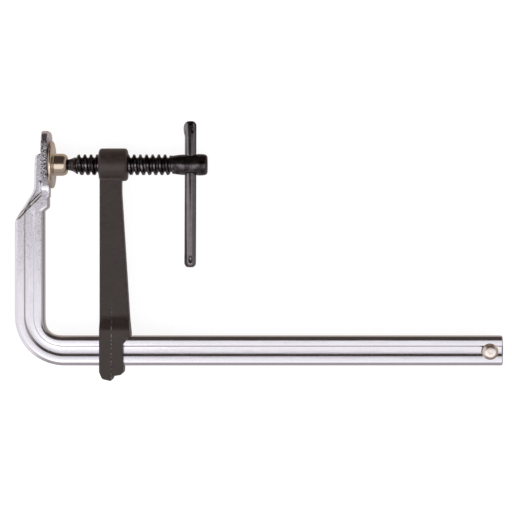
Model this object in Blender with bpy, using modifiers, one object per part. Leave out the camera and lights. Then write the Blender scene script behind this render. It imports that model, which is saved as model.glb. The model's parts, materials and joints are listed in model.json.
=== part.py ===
"""All-steel F clamp: bent rail with a forged fixed jaw, sliding arm, spindle, tommy bar and swivel pad.

The drawing datum is the fixed jaw's pressure face (X = 0), the spindle's axis (Y = 0) and the
rail's mid-plane (Z = 0). The clamp lies on its side, so that datum is carried by an empty.
"""

import math

import bmesh
import bpy
from mathutils import Euler, Matrix, Vector

# Driving dimensions, in metres.
GAP = 0.0003                # running clearance between neighbouring pieces
THROAT = 0.1200             # spindle's axis to the rail

RAIL_WIDTH = 0.0210
RAIL_THICKNESS = 0.0105
RAIL_SETBACK = 0.0035       # the upright leg lies this far behind the pressure face
RAIL_END = 0.3177           # free end of the long leg
RAIL_EDGE = 0.0024          # rounding along the rail's edges
BEND_INNER = 0.0140
GROOVE_WIDTH = 0.0064
GROOVE_DEPTH = 0.0012

JAW_THICKNESS = 0.0049
JAW_HALF_WIDTH = 0.0150
JAW_TOP = 0.0240
JAW_RIB_BACK = 0.0099       # back of the rib behind the jaw plate
JAW_RIB_TOP = 0.0070
TOOTH_PITCH = 0.0035        # spacing of the grooves milled across the jaw's face
TOOTH_GROOVE = 0.0009       # side of the square that cuts each groove, corner first
TOP_GROOVE = 0.0174
GROOVE_ROWS = 8
GROOVE_COLUMNS = 8

STOP_X = 0.3086
STOP_Y = -0.1311
STOP_SHAFT = 0.0026
STOP_HEAD = 0.0057
STOP_FLAT = 0.0036
STOP_HEIGHT = 0.0021        # height of each head above the rail's face

ARM_FRONT = 0.0352          # face of the sliding arm that looks at the fixed jaw
ARM_WEB = 0.0060            # half thickness of the arm
SLEEVE_HALF = 0.0100        # half thickness where the arm wraps round the rail
SLEEVE_BACK = 0.0523
BOSS_FRONT = 0.0345
BOSS_BACK = 0.0547
BOSS_RADIUS = 0.0115

PITCH = 0.00433
THREAD_CREST = 0.0073
THREAD_ROOT = 0.0051
THREAD_START = 0.01825      # middle of a ridge, under the spindle's axis
THREAD_STEPS = 16           # facets in one turn
CREST_HALF = 0.19 * PITCH   # half width of a ridge at its crest
ROOT_HALF = 0.35 * PITCH    # half width of a ridge at its root
GROOVE_TURNS = 17
THREAD_END = 0.0830
SPINDLE_END = 0.1107

BALL_CENTRE = 0.0073
BALL_RADIUS = 0.0052
PAD_FACE = 0.0003
PAD_RADIUS = 0.01665
PAD_DISC = 0.0036           # thickness of the pad's disc
SOCKET_RADIUS = 0.0078
SOCKET_END = 0.0121
SNAP_PLACE = 0.0101         # the snap ring's plane
SNAP_RING = 0.00535
SNAP_WIRE = 0.0005

BAR_X = 0.0987
BAR_TOP = 0.0307
BAR_BOTTOM = -0.0722
BAR_RADIUS = 0.0041
BAR_STAKE = 0.0047          # radius of the swollen ends
BAR_STAKE_LENGTH = 0.0090

# Outer face of the upright leg, and the lowest corner of the arm's sleeve.
RAIL_BACK = -(RAIL_SETBACK + RAIL_WIDTH)
ARM_BOTTOM = -0.1518


def clear_scene():
    for item in list(bpy.data.objects):
        bpy.data.objects.remove(item, do_unlink=True)


def new_collection(name):
    collection = bpy.data.collections.new(name)
    bpy.context.scene.collection.children.link(collection)
    return collection


clear_scene()
PARTS = new_collection("f_clamp")
CUTTERS = new_collection("cutters")
ORIGIN = bpy.data.objects.new("clamp_datum", None)
PARTS.objects.link(ORIGIN)


def new_material(name, colour, metallic, roughness):
    material = bpy.data.materials.new(name)
    material.use_nodes = True
    shader = material.node_tree.nodes["Principled BSDF"]
    shader.inputs["Base Color"].default_value = (*colour, 1)
    shader.inputs["Metallic"].default_value = metallic
    shader.inputs["Roughness"].default_value = roughness
    return material


def finish_part(part, material):
    """Put a sub-part in the clamp's collection, under the datum, with its material."""
    PARTS.objects.link(part)
    part.parent = ORIGIN
    part.data.materials.append(material)
    return part


def make_tool(tool):
    """Put a shape that only cuts or joins another with the cutters."""
    CUTTERS.objects.link(tool)
    tool.parent = ORIGIN
    tool.hide_render = True
    tool.display_type = "WIRE"
    return tool


def combine(part, tool, operation):
    modifier = part.modifiers.new(tool.name, "BOOLEAN")
    modifier.solver = "EXACT"
    modifier.operation = operation
    modifier.object = tool


def rounded(corners, steps=4):
    """Outline through (x, y, radius) corners, with an arc of that radius at each corner."""
    points = []
    for i, (x, y, radius) in enumerate(corners):
        corner = Vector((x, y))
        if radius == 0:
            points.append(corner)
            continue
        back = (Vector(corners[i - 1][:2]) - corner).normalized()
        ahead = (Vector(corners[(i + 1) % len(corners)][:2]) - corner).normalized()
        half = back.angle(ahead) / 2
        centre = corner + (back + ahead).normalized() * radius / math.sin(half)
        first = corner + back * radius / math.tan(half) - centre
        last = corner + ahead * radius / math.tan(half) - centre
        start = math.atan2(first.y, first.x)
        sweep = math.remainder(math.atan2(last.y, last.x) - start, math.tau)
        for step in range(steps + 1):
            angle = start + sweep * step / steps
            points.append(centre + radius * Vector((math.cos(angle), math.sin(angle))))
    return points


def arc(centre, radius, start, end, steps):
    """(height, radius) points of a turned profile along an arc, angles in degrees from the axis."""
    points = []
    for step in range(steps + 1):
        angle = math.radians(start + (end - start) * step / steps)
        points.append((centre + radius * math.cos(angle), radius * math.sin(angle)))
    return points


def curve_to_mesh(curve):
    """Mesh object of a curve, with its caps welded on and flat areas left whole."""
    name = curve.name
    guide = bpy.data.objects.new(name, curve)
    bpy.context.scene.collection.objects.link(guide)
    graph = bpy.context.evaluated_depsgraph_get()
    mesh = bpy.data.meshes.new_from_object(guide.evaluated_get(graph))
    bpy.data.objects.remove(guide, do_unlink=True)
    shape = bmesh.new()
    shape.from_mesh(mesh)
    bmesh.ops.remove_doubles(shape, verts=shape.verts, dist=1e-6)
    bmesh.ops.dissolve_limit(shape, angle_limit=0.001, verts=shape.verts, edges=shape.edges)
    bmesh.ops.recalc_face_normals(shape, faces=shape.faces)
    shape.to_mesh(mesh)
    shape.free()
    return bpy.data.objects.new(name, mesh)


def slab(name, outline, thickness):
    """A flat outline with its thickness centred on the outline's plane."""
    curve = bpy.data.curves.new(name, "CURVE")
    curve.dimensions = "2D"
    curve.fill_mode = "BOTH"
    curve.extrude = thickness / 2
    spline = curve.splines.new("POLY")
    spline.points.add(len(outline) - 1)
    for point, (x, y) in zip(spline.points, outline):
        point.co = (x, y, 0, 1)
    spline.use_cyclic_u = True
    return curve_to_mesh(curve)


def turned(name, profile, segments):
    """A solid of revolution about local Z, from (height, radius) points, top to bottom.

    The profile starts half a facet round from X, clear of the thread's own edges.
    """
    turn = math.pi / segments
    verts = [(radius * math.cos(turn), radius * math.sin(turn), height) for height, radius in profile]
    mesh = bpy.data.meshes.new(name)
    mesh.from_pydata(verts, [(i, i + 1) for i in range(len(profile) - 1)], [])
    item = bpy.data.objects.new(name, mesh)
    screw = item.modifiers.new("turn", "SCREW")
    screw.steps = segments
    screw.render_steps = segments
    screw.use_merge_vertices = True
    screw.merge_threshold = 0.00001
    return item


def round_cutter(name, radius, segments):
    """A cylinder about local Z, long enough to drill right through."""
    reach = 0.012
    profile = [(reach, 0), (reach, radius), (-reach, radius), (-reach, 0)]
    return make_tool(turned(name, profile, segments))


def add_bevel(item, width, segments):
    bevel = item.modifiers.new("rounding", "BEVEL")
    bevel.width = width
    bevel.segments = segments
    bevel.limit_method = "ANGLE"
    bevel.angle_limit = math.radians(35)


def lay_along_x(item):
    """Turn an item built along local Z so that it points along the spindle's axis."""
    item.rotation_euler = Euler((0, math.pi / 2, 0))
    return item


def sweep_helix(name, outline, closed, start, turns):
    """An outline of (radius, height) points swept along the thread, with its ends closed."""
    verts = [(radius, 0, start + height) for radius, height in outline]
    edges = [(i, i + 1) for i in range(len(outline) - 1)]
    if closed:
        edges.append((len(outline) - 1, 0))
    mesh = bpy.data.meshes.new(name)
    mesh.from_pydata(verts, edges, [])
    guide = bpy.data.objects.new(name, mesh)
    bpy.context.scene.collection.objects.link(guide)
    screw = guide.modifiers.new("helix", "SCREW")
    screw.screw_offset = PITCH
    screw.iterations = turns
    screw.steps = THREAD_STEPS
    screw.render_steps = THREAD_STEPS
    graph = bpy.context.evaluated_depsgraph_get()
    swept = bpy.data.meshes.new_from_object(guide.evaluated_get(graph))
    bpy.data.objects.remove(guide, do_unlink=True)
    shape = bmesh.new()
    shape.from_mesh(swept)
    bmesh.ops.remove_doubles(shape, verts=shape.verts, dist=1e-6)
    ends = bmesh.ops.holes_fill(shape, edges=shape.edges)["faces"]
    if not closed:
        bmesh.ops.poke(shape, faces=ends)
    bmesh.ops.recalc_face_normals(shape, faces=shape.faces)
    shape.to_mesh(swept)
    shape.free()
    return make_tool(lay_along_x(bpy.data.objects.new(name, swept)))


def make_tap():
    """Threaded rod, larger than the spindle by the running clearance, that cuts the arm's thread."""
    crest = THREAD_CREST + GAP
    root = THREAD_ROOT + GAP
    crest_half = CREST_HALF + GAP
    root_half = ROOT_HALF + GAP
    outline = [
        (root, PITCH / 2), (root, root_half), (crest, crest_half),
        (crest, -crest_half), (root, -root_half), (root, -PITCH / 2),
    ]
    return sweep_helix("arm_thread", outline, False, THREAD_START + 2 * PITCH, 8)


def make_thread_groove():
    """The helical groove cut into the spindle between its ridges."""
    outside = 0.0080
    spread = (ROOT_HALF - CREST_HALF) / (THREAD_CREST - THREAD_ROOT)
    root_half = PITCH / 2 - ROOT_HALF
    mouth_half = root_half + spread * (outside - THREAD_ROOT)
    outline = [
        (THREAD_ROOT, root_half), (outside, mouth_half),
        (outside, -mouth_half), (THREAD_ROOT, -root_half),
    ]
    return sweep_helix("thread_groove", outline, True, THREAD_START - 1.5 * PITCH, GROOVE_TURNS)


def make_rail():
    """The rolled rail, bent to an L and forged at its upper end into the fixed jaw."""
    face = -RAIL_SETBACK
    back = RAIL_BACK
    under = -(THROAT + RAIL_WIDTH)
    outline = rounded([
        (RAIL_END, under, 0), (RAIL_END, -THROAT, 0),
        (face, -THROAT, BEND_INNER), (face, -0.0188, 0),
        (back, -0.0397, 0), (back, under, BEND_INNER + RAIL_WIDTH),
    ], 10)
    rail = finish_part(slab("rail", outline, RAIL_THICKNESS), BRIGHT_STEEL)
    add_bevel(rail, RAIL_EDGE, 3)
    for tool in (make_jaw_spine(), make_jaw_block(), make_jaw_plate()):
        combine(rail, tool, "UNION")
    for tool in make_rail_grooves():
        combine(rail, tool, "DIFFERENCE")
    hole = round_cutter("stop_hole", STOP_SHAFT + GAP, 24)
    hole.location = (STOP_X, STOP_Y, 0)
    combine(rail, hole, "DIFFERENCE")
    for tool in (make_tooth_rows(), make_tooth_columns()):
        combine(rail, tool, "DIFFERENCE")
    return rail


def make_jaw_spine():
    """The rib behind the jaw plate, running down into the rail's back."""
    outline = rounded([
        (-0.0236, -0.0460, 0), (-0.0236, -0.0368, 0.0040),
        (-0.0108, -0.0180, 0.0100), (-JAW_RIB_BACK, JAW_RIB_TOP, 0.0025),
        (-0.0030, JAW_RIB_TOP + 0.0010, 0), (-0.0030, -0.0250, 0), (-0.0070, -0.0460, 0),
    ])
    spine = slab("jaw_spine", outline, 0.0084)
    add_bevel(spine, 0.0014, 2)
    return make_tool(spine)


def make_jaw_block():
    """The shoulder under the jaw plate, standing proud of the rail's inner face."""
    outline = rounded([
        (-0.0120, -0.0120, 0), (-0.0002, -0.0120, 0), (-0.0002, -0.0296, 0.0020),
        (-0.0050, -0.0328, 0), (-0.0120, -0.0328, 0),
    ])
    block = slab("jaw_block", outline, 0.0100)
    add_bevel(block, 0.0012, 2)
    return make_tool(block)


def make_jaw_plate():
    """The flattened jaw: round at the top, drawn in to the rail's thickness below."""
    half = [
        (0.0050, -0.0262, 0), (0.0060, -0.0158, 0.0060),
        (JAW_HALF_WIDTH, -0.0088, 0.0020), (JAW_HALF_WIDTH, JAW_TOP, 0.0092),
    ]
    other = [(-x, y, radius) for x, y, radius in reversed(half)]
    plate = slab("jaw_plate", rounded(half + other, 6), JAW_THICKNESS)
    add_bevel(plate, 0.0006, 1)
    plate.rotation_euler = Euler((0, -math.pi / 2, 0))
    plate.location = (-JAW_THICKNESS / 2, 0, 0)
    return make_tool(plate)


def make_rail_grooves():
    """One long groove on each wide face, from the free end round the bend to the jaw."""
    side = (RAIL_WIDTH - GROOVE_WIDTH) / 2
    low = -(THROAT + RAIL_WIDTH - side)
    high = -(THROAT + side)
    left = RAIL_BACK + side
    right = -RAIL_SETBACK - side
    past_end = RAIL_END + 0.010
    outline = rounded([
        (past_end, low, 0), (past_end, high, 0), (right, high, BEND_INNER + side),
        (right, -0.0330, 0.0030), (left, -0.0400, 0.0030),
        (left, low, BEND_INNER + side + GROOVE_WIDTH),
    ], 10)
    first = slab("groove_top", outline, 2 * GROOVE_DEPTH)
    second = bpy.data.objects.new("groove_bottom", first.data)
    first.location.z = RAIL_THICKNESS / 2
    second.location.z = -RAIL_THICKNESS / 2
    return make_tool(first), make_tool(second)


def groove_cutter(name, places, size, tilt):
    """Square rods laid corner first into the jaw's face, one at each place."""
    shape = bmesh.new()
    for place in places:
        turn = Matrix.Translation(place) @ tilt.to_matrix().to_4x4() @ Matrix.Diagonal((*size, 1))
        bmesh.ops.create_cube(shape, size=1, matrix=turn)
    mesh = bpy.data.meshes.new(name)
    shape.to_mesh(mesh)
    shape.free()
    return make_tool(bpy.data.objects.new(name, mesh))


def make_tooth_rows():
    places = [(0, TOP_GROOVE - row * TOOTH_PITCH, 0) for row in range(GROOVE_ROWS)]
    size = (TOOTH_GROOVE, TOOTH_GROOVE, 0.040)
    return groove_cutter("tooth_rows", places, size, Euler((0, 0, math.pi / 4)))


def make_tooth_columns():
    height = (GROOVE_ROWS - 1) * TOOTH_PITCH
    middle = TOP_GROOVE - height / 2
    first = -(GROOVE_COLUMNS - 1) * TOOTH_PITCH / 2
    places = [(0, middle, first + column * TOOTH_PITCH) for column in range(GROOVE_COLUMNS)]
    size = (0.9 * TOOTH_GROOVE, height, 0.9 * TOOTH_GROOVE)
    return groove_cutter("tooth_columns", places, size, Euler((0, math.pi / 4, 0)))


def make_stop_pin():
    """The pin through the rail's free end, with a coned head on each side."""
    seat = RAIL_THICKNESS / 2 + GAP
    half = [
        (seat + STOP_HEIGHT, 0), (seat + STOP_HEIGHT, STOP_FLAT),
        (seat + 0.0010, STOP_HEAD - 0.0005), (seat + 0.0006, STOP_HEAD),
        (seat, STOP_HEAD), (seat, STOP_SHAFT),
    ]
    other = [(-height, radius) for height, radius in reversed(half)]
    pin = turned("stop_pin", half + other, 32)
    pin.location = (STOP_X, STOP_Y, 0)
    return finish_part(pin, YELLOW_ZINC)


def make_sliding_arm():
    """The forged arm: threaded boss, tapering web and the sleeve that rides on the rail."""
    outline = rounded([
        (ARM_FRONT, 0.0040, 0), (0.0506, 0.0040, 0), (0.0506, -0.0200, 0.0300),
        (0.0572, -0.1196, 0.0010), (SLEEVE_BACK, -0.1256, 0.0010),
        (SLEEVE_BACK, -0.1470, 0.0022), (0.0446, -0.1480, 0.0006),
        (0.0440, ARM_BOTTOM, 0.0008), (0.0370, -0.1496, 0.0020), (ARM_FRONT, -0.1460, 0.0015),
    ], 3)
    arm = finish_part(slab("sliding_arm", outline, 0.030), DARK_FORGING)
    combine(arm, make_arm_side(), "INTERSECT")
    add_bevel(arm, 0.0012, 2)
    combine(arm, make_arm_boss(), "UNION")
    combine(arm, make_rail_window(), "DIFFERENCE")
    combine(arm, make_tap(), "DIFFERENCE")
    return arm


def make_arm_side():
    """The arm as seen from its end: a thin web that swells into the sleeve."""
    half = [
        (ARM_WEB, 0.0080, 0), (ARM_WEB, -0.1020, 0.0160),
        (SLEEVE_HALF, -0.1110, 0.0040), (SLEEVE_HALF, -0.1600, 0),
    ]
    other = [(-x, y, radius) for x, y, radius in reversed(half)]
    side = slab("arm_side", rounded(half + other), 0.100)
    side.rotation_euler = Euler((0, -math.pi / 2, 0))
    side.location.x = ARM_FRONT
    return make_tool(side)


def make_arm_boss():
    """The round boss that the spindle's thread runs in, with rounded ends."""
    edge = 0.0020
    corner = 0.3 * edge
    back_end = [
        (BOSS_BACK, 0), (BOSS_BACK, BOSS_RADIUS - edge),
        (BOSS_BACK - corner, BOSS_RADIUS - corner), (BOSS_BACK - edge, BOSS_RADIUS),
    ]
    ends = BOSS_BACK + BOSS_FRONT
    front_end = [(ends - height, radius) for height, radius in reversed(back_end)]
    return make_tool(lay_along_x(turned("arm_boss", back_end + front_end, 32)))


def make_rail_window():
    """The hole that the rail passes through."""
    play = 0.00035
    low = -(THROAT + RAIL_WIDTH) - play
    high = -THROAT + play
    before = ARM_FRONT - 0.015
    after = SLEEVE_BACK + 0.015
    outline = [(before, low), (after, low), (after, high), (before, high)]
    return make_tool(slab("rail_window", outline, RAIL_THICKNESS + 2 * play))


def make_spindle():
    """Ball nose, waisted neck, trapezoidal thread and the cross-drilled head."""
    head = [
        (SPINDLE_END, 0), (SPINDLE_END, 0.0058), (SPINDLE_END - 0.0005, 0.0069),
        (SPINDLE_END - 0.0020, 0.0075), (SPINDLE_END - 0.0050, 0.0076),
        (0.0930, 0.0072), (THREAD_END + 0.0024, 0.0066),
    ]
    neck = [
        (0.0196, 0.0070), (0.0183, 0.0062), (0.0169, 0.0052),
        (0.0152, 0.0044), (0.0125, 0.0038), (0.0118, 0.0036),
    ]
    thread = [(THREAD_END, THREAD_CREST), (0.0206, THREAD_CREST)]
    nose = arc(BALL_CENTRE, BALL_RADIUS, 44, 180, 9)
    blank = turned("spindle", head + thread + neck + nose, THREAD_STEPS)
    spindle = finish_part(lay_along_x(blank), BLACK_OXIDE)
    combine(spindle, make_thread_groove(), "DIFFERENCE")
    hole = round_cutter("bar_hole", BAR_RADIUS + GAP, 20)
    hole.rotation_euler = Euler((-math.pi / 2, 0, 0))
    hole.location.x = BAR_X
    combine(spindle, hole, "DIFFERENCE")
    return spindle


def make_tommy_bar():
    """Round bar with swollen, punched ends that keep it in the spindle's head."""
    top_end = [
        (BAR_TOP, 0), (BAR_TOP - 0.0002, 0.0026), (BAR_TOP - 0.0014, 0.0042),
        (BAR_TOP - 0.0032, BAR_STAKE), (BAR_TOP - BAR_STAKE_LENGTH + 0.0016, BAR_STAKE),
        (BAR_TOP - BAR_STAKE_LENGTH, BAR_RADIUS),
    ]
    ends = BAR_TOP + BAR_BOTTOM
    low_end = [(ends - height, radius) for height, radius in reversed(top_end)]
    bar = turned("tommy_bar", top_end + low_end, 20)
    bar.rotation_euler = Euler((-math.pi / 2, 0, 0))
    bar.location.x = BAR_X
    finish_part(bar, BLACK_OXIDE)
    combine(bar, make_dimple("dimple_top", 0.0015, BAR_TOP - 0.0068), "DIFFERENCE")
    combine(bar, make_dimple("dimple_bottom", 0.0002, BAR_BOTTOM + 0.0056), "DIFFERENCE")
    return bar


def make_dimple(name, side, height):
    """The ball that leaves a punch mark on the bar's upper face."""
    shape = bmesh.new()
    bmesh.ops.create_uvsphere(shape, u_segments=12, v_segments=8, radius=0.0020)
    mesh = bpy.data.meshes.new(name)
    shape.to_mesh(mesh)
    shape.free()
    dimple = bpy.data.objects.new(name, mesh)
    dimple.location = (BAR_X + side, height, BAR_STAKE + 0.0008)
    return make_tool(dimple)


def make_swivel_pad():
    """Turned disc with the socket that snaps over the spindle's ball."""
    disc_back = PAD_FACE + PAD_DISC
    bore = BALL_RADIUS + GAP
    groove = SNAP_RING + SNAP_WIRE + GAP
    groove_half = SNAP_WIRE + GAP
    profile = [
        (0.0018, 0), (0.0018, 0.0028), (0.0052, bore),
        (SNAP_PLACE - groove_half, bore), (SNAP_PLACE - groove_half, groove),
        (SNAP_PLACE + groove_half, groove), (SNAP_PLACE + groove_half, bore), (SOCKET_END, bore),
        (SOCKET_END, 0.0060), (SOCKET_END - 0.0010, 0.0070), (SOCKET_END - 0.0031, SOCKET_RADIUS),
        (disc_back + 0.0009, SOCKET_RADIUS), (disc_back, SOCKET_RADIUS + 0.0009),
        (disc_back, PAD_RADIUS - 0.0012), (disc_back - 0.0004, PAD_RADIUS - 0.0004),
        (disc_back - 0.0012, PAD_RADIUS), (PAD_FACE + 0.0006, PAD_RADIUS),
        (PAD_FACE, PAD_RADIUS - 0.0006), (PAD_FACE, 0),
    ]
    return finish_part(lay_along_x(turned("swivel_pad", profile, 36)), YELLOW_ZINC)


def make_snap_ring():
    """Split wire ring in the socket's groove, behind the ball."""
    opening = math.radians(30)
    steps = 22
    curve = bpy.data.curves.new("pad_snap_ring", "CURVE")
    curve.dimensions = "3D"
    curve.bevel_depth = SNAP_WIRE
    curve.bevel_resolution = 1
    curve.use_fill_caps = True
    spline = curve.splines.new("POLY")
    spline.points.add(steps)
    for step, point in enumerate(spline.points):
        angle = opening / 2 + (math.tau - opening) * step / steps
        point.co = (SNAP_RING * math.cos(angle), SNAP_RING * math.sin(angle), SNAP_PLACE, 1)
    return finish_part(lay_along_x(curve_to_mesh(curve)), SPRING_STEEL)


def stand_on_origin():
    """Put the middle of the clamp's underside at the world's origin."""
    graph = bpy.context.evaluated_depsgraph_get()
    corners = []
    for part in PARTS.objects:
        if part.type == "MESH":
            shown = part.evaluated_get(graph)
            corners += [shown.matrix_world @ Vector(corner) for corner in shown.bound_box]
    low = [min(corner[axis] for corner in corners) for axis in range(3)]
    high = [max(corner[axis] for corner in corners) for axis in range(3)]
    ORIGIN.location = (-(low[0] + high[0]) / 2, -(low[1] + high[1]) / 2, -low[2])


BRIGHT_STEEL = new_material("bright_plated_steel", (0.78, 0.77, 0.80), 1.0, 0.22)
DARK_FORGING = new_material("black_forging", (0.055, 0.045, 0.042), 0.3, 0.55)
BLACK_OXIDE = new_material("black_oxide_steel", (0.050, 0.042, 0.044), 0.8, 0.35)
YELLOW_ZINC = new_material("yellow_zinc", (0.62, 0.50, 0.34), 1.0, 0.28)
SPRING_STEEL = new_material("spring_steel", (0.45, 0.45, 0.47), 1.0, 0.30)

make_rail()
make_stop_pin()
make_sliding_arm()
make_spindle()
make_tommy_bar()
make_swivel_pad()
make_snap_ring()
stand_on_origin()
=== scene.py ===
import json
import math

import bmesh
import bpy
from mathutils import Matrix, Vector


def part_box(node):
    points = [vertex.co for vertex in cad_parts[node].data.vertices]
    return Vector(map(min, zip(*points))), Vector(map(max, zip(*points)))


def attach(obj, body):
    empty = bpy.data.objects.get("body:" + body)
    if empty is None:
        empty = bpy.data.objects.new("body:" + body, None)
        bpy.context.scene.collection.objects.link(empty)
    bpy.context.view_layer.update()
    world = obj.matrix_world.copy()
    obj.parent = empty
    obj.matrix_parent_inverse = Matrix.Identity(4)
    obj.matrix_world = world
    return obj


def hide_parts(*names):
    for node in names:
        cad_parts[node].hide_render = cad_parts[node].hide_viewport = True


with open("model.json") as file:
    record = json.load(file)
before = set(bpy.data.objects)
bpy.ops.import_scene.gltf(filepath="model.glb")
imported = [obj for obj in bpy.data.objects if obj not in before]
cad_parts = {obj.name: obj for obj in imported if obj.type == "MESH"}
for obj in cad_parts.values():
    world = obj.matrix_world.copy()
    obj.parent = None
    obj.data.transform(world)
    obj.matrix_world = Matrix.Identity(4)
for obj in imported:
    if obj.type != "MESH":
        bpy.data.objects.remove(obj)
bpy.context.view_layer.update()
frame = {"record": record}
print("frame loaded")


# the clamp's own datum: jaw face, spindle axis and rail mid-plane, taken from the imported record
def findNamed(rows, name):
    return next(row for row in rows if row["name"] == name)


record = frame["record"]
jawMount = findNamed(record["mounts"], "fixed_jaw_face")["pos_m"]
turnJoint = findNamed(record["behaviour"]["joints"], "spindle_turn")["pos_m"]
datum = Vector((jawMount[0], turnJoint[1], turnJoint[2]))


def cadCorners(node):
    low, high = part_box(node)
    return Vector(low) - datum, Vector(high) - datum


railLow, railHigh = cadCorners("rail")
armLow, armHigh = cadCorners("sliding_arm")
spindleLow, spindleHigh = cadCorners("spindle")
barLow, barHigh = cadCorners("tommy_bar")
padLow, padHigh = cadCorners("swivel_pad")
pinLow, pinHigh = cadCorners("stop_pin")
ringLow, ringHigh = cadCorners("pad_snap_ring")


# small modelling helpers
def deselectAll():
    if bpy.context.object and bpy.context.object.mode == "EDIT":
        bpy.ops.object.mode_set(mode="OBJECT")
    for item in bpy.context.selected_objects:
        item.select_set(False)


def activate(piece):
    deselectAll()
    piece.select_set(True)
    bpy.context.view_layer.objects.active = piece


def applyModifier(piece, kind, **settings):
    activate(piece)
    modifier = piece.modifiers.new(kind.lower(), kind)
    for key, value in settings.items():
        setattr(modifier, key, value)
    bpy.ops.object.modifier_apply(modifier=modifier.name)


def join(piece, tool, operation="UNION"):
    applyModifier(piece, "BOOLEAN", operation=operation, solver="EXACT", object=tool)
    bpy.data.objects.remove(tool, do_unlink=True)


def cut(piece, tool):
    join(piece, tool, "DIFFERENCE")


# put overlapping blocks in one object, ready for one skin over them all
def gather(piece, others):
    activate(piece)
    for other in others:
        other.select_set(True)
    bpy.ops.object.join()


# select vertices, edges or faces whose middle passes the test, and stay in edit mode
def pick(piece, kind, test):
    activate(piece)
    bpy.ops.object.mode_set(mode="EDIT")
    bpy.ops.mesh.select_mode(type=kind)
    bpy.ops.mesh.select_all(action="DESELECT")
    shape = bmesh.from_edit_mesh(piece.data)
    items = {"VERT": shape.verts, "EDGE": shape.edges, "FACE": shape.faces}[kind]
    for item in items:
        corners = [item] if kind == "VERT" else item.verts
        middle = sum((corner.co for corner in corners), Vector()) / len(corners)
        if test(middle, item):
            item.select_set(True)
    bmesh.update_edit_mesh(piece.data)


# a plane shrunk to one point, then drawn out vertex by vertex
def drawLine(name, points, closed=False):
    deselectAll()
    bpy.ops.mesh.primitive_plane_add(size=0.001)
    piece = bpy.context.object
    piece.name = name
    bpy.ops.object.mode_set(mode="EDIT")
    bpy.ops.mesh.select_mode(type="VERT")
    bpy.ops.mesh.select_all(action="SELECT")
    bpy.ops.mesh.merge(type="CENTER")
    bpy.ops.transform.translate(value=points[0])
    for start, end in zip(points, points[1:]):
        bpy.ops.mesh.extrude_vertices_move(TRANSFORM_OT_translate={"value": end - start})
    if closed:
        bpy.ops.mesh.select_all(action="SELECT")
        bpy.ops.mesh.edge_face_add()
    return piece


def tidyMesh():
    bpy.ops.mesh.select_all(action="SELECT")
    bpy.ops.mesh.remove_doubles(threshold=0.000002)
    bpy.ops.mesh.normals_make_consistent(inside=False)
    bpy.ops.object.mode_set(mode="OBJECT")


def faceOutwards(piece):
    shape = bmesh.new()
    shape.from_mesh(piece.data)
    insideOut = shape.calc_volume(signed=True) < 0
    shape.free()
    if insideOut:
        activate(piece)
        bpy.ops.object.mode_set(mode="EDIT")
        bpy.ops.mesh.select_all(action="SELECT")
        bpy.ops.mesh.flip_normals()
        bpy.ops.object.mode_set(mode="OBJECT")


# a flat outline pulled out to a solid
def pulledOutline(name, points, pull):
    piece = drawLine(name, [point - pull / 2 for point in points], closed=True)
    bpy.ops.mesh.extrude_region_move(TRANSFORM_OT_translate={"value": pull})
    tidyMesh()
    return piece


# a profile of (place along the axis, radius) points spun round the X axis
def spunProfile(name, profile, steps):
    piece = drawLine(name, [Vector((along, radius, 0)) for along, radius in profile])
    bpy.ops.mesh.select_all(action="SELECT")
    bpy.ops.mesh.spin(steps=steps, angle=math.tau, center=(0, 0, 0), axis=(1, 0, 0))
    tidyMesh()
    return piece


def turnPiece(piece, angle, axis):
    activate(piece)
    bpy.ops.object.mode_set(mode="EDIT")
    bpy.ops.mesh.select_all(action="SELECT")
    bpy.ops.object.mode_set(mode="OBJECT")
    piece.rotation_euler["XYZ".index(axis)] = angle
    bpy.ops.object.transform_apply(location=False, rotation=True, scale=False)


def movePiece(piece, offset):
    activate(piece)
    piece.location = offset
    bpy.ops.object.transform_apply(location=True, rotation=False, scale=False)


# outline through (x, y, radius) corners, each radius drawn as an arc
def roundedCorners(corners, steps=8):
    points = []
    for i, (x, y, radius) in enumerate(corners):
        corner = Vector((x, y))
        if radius == 0:
            points.append(corner)
            continue
        back = (Vector(corners[i - 1][:2]) - corner).normalized()
        ahead = (Vector(corners[(i + 1) % len(corners)][:2]) - corner).normalized()
        half = back.angle(ahead) / 2
        centre = corner + (back + ahead).normalized() * radius / math.sin(half)
        first = corner + back * radius / math.tan(half) - centre
        last = corner + ahead * radius / math.tan(half) - centre
        start = math.atan2(first.y, first.x)
        sweep = math.remainder(math.atan2(last.y, last.x) - start, math.tau)
        for step in range(steps + 1):
            angle = start + sweep * step / steps
            points.append(centre + radius * Vector((math.cos(angle), math.sin(angle))))
    return points


def arcProfile(centre, radius, start, end, steps):
    points = []
    for step in range(steps + 1):
        angle = math.radians(start + (end - start) * step / steps)
        points.append((centre + radius * math.cos(angle), radius * math.sin(angle)))
    return points


# forged shapes: one skin over the joined blocks, with its corners softened
def forgeSkin(piece, grain, passes):
    applyModifier(piece, "REMESH", mode="VOXEL", voxel_size=grain, use_smooth_shade=True)
    applyModifier(piece, "SMOOTH", factor=0.5, iterations=passes)


def finishPiece(piece, node, body, material, angle=35):
    movePiece(piece, datum)
    bpy.ops.object.shade_smooth_by_angle(angle=math.radians(angle))
    piece.data.materials.clear()
    piece.data.materials.append(material)
    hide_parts(node)
    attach(piece, body)
    print("made", piece.name, len(piece.data.polygons), "faces")


# node helpers
def addNode(tree, kind, inputs=None, **settings):
    item = tree.nodes.new(kind)
    for key, value in settings.items():
        setattr(item, key, value)
    for key, value in (inputs or {}).items():
        if isinstance(value, bpy.types.NodeSocket):
            tree.links.new(value, item.inputs[key])
        else:
            item.inputs[key].default_value = value
    return item


def mathNode(tree, operation, first, second=0.0, clamp=False):
    return addNode(tree, "ShaderNodeMath", {0: first, 1: second}, operation=operation,
                   use_clamp=clamp).outputs[0]


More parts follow.
